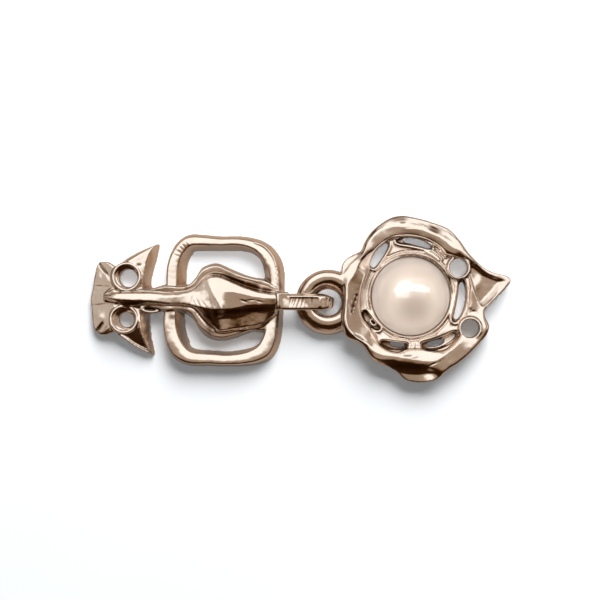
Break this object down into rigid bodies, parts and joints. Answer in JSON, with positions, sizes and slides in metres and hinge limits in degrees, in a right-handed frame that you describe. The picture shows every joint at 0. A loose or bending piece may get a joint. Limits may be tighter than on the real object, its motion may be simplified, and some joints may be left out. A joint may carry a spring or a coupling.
{
  "type": "hook-and-eye clothing clasp with a pearl",
  "caption": "Cast rose-coloured clasp in two sew-on halves: a fish-tailed window frame with a hook, and a petal frame with a ring and a half-round pearl.",
  "frame": {"origin": "bottom centre of the fastened clasp's box, on the plane of both flat backs", "axes": "+X from the tail fan to the spike, +Y across the clasp, +Z out of the cloth"},
  "size_m": [0.0644, 0.0254, 0.0067],
  "materials": {
    "rose_metal": "polished rose-coloured plating over cast zinc alloy, with a lightly hammered surface",
    "pearl": "cream pearl lacquer with a soft lustre"
  },
  "bodies": {
    "root": {"hook_half": "rose_metal", "eye_half": "rose_metal", "pearl": "pearl"}
  },
  "joints": []
}
